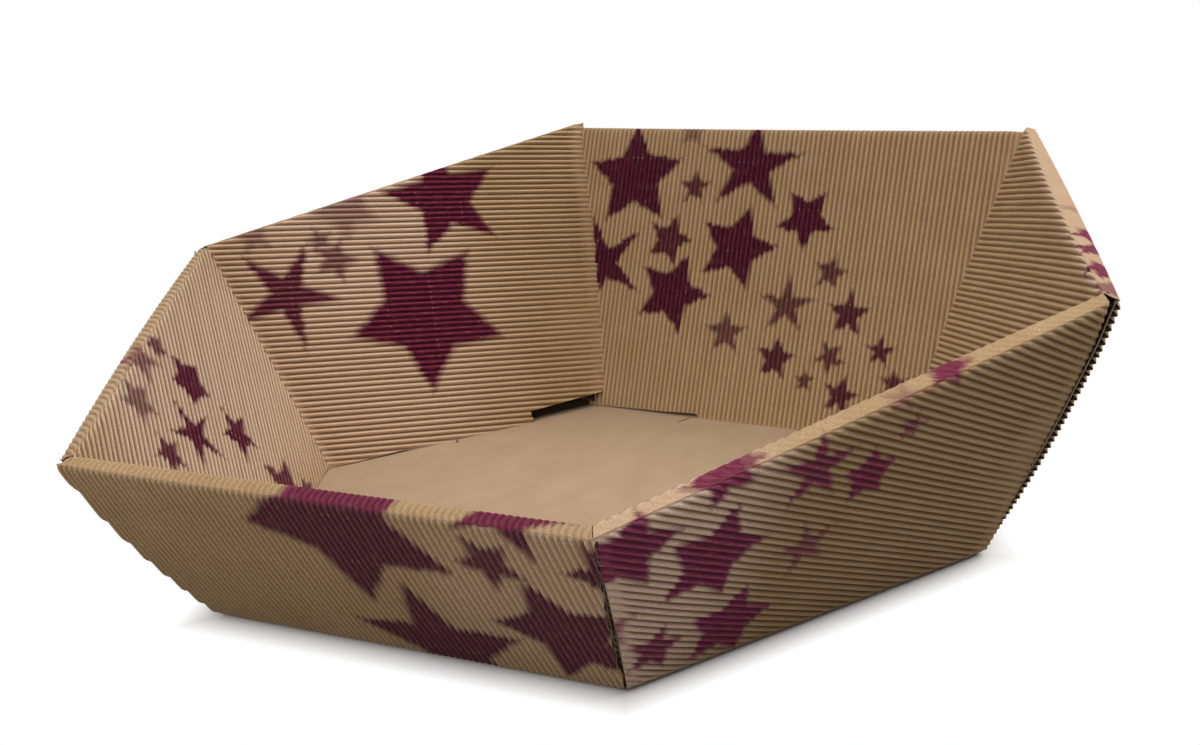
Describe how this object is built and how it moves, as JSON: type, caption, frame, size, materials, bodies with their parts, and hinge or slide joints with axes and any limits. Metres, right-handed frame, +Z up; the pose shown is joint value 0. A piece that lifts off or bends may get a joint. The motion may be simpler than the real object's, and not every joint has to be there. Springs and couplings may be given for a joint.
{
  "type": "hexagonal gift box",
  "caption": "Open hexagonal gift tray folded from single-face corrugated kraft board, with leaning double walls, a rim rising to the back, locking tabs and printed stars.",
  "frame": {"origin": "centre of the bounding box on the plane that the underside's flute crests rest on", "axes": "+Z up out of the tray, -Y towards the low front wall, +X to the right seen from the front"},
  "size_m": [0.3962, 0.33, 0.1266],
  "materials": {
    "kraft_board": "matte, uncoated kraft paper with plum stars"
  },
  "bodies": {
    "root": {"folded_box": "kraft_board"}
  },
  "joints": []
}
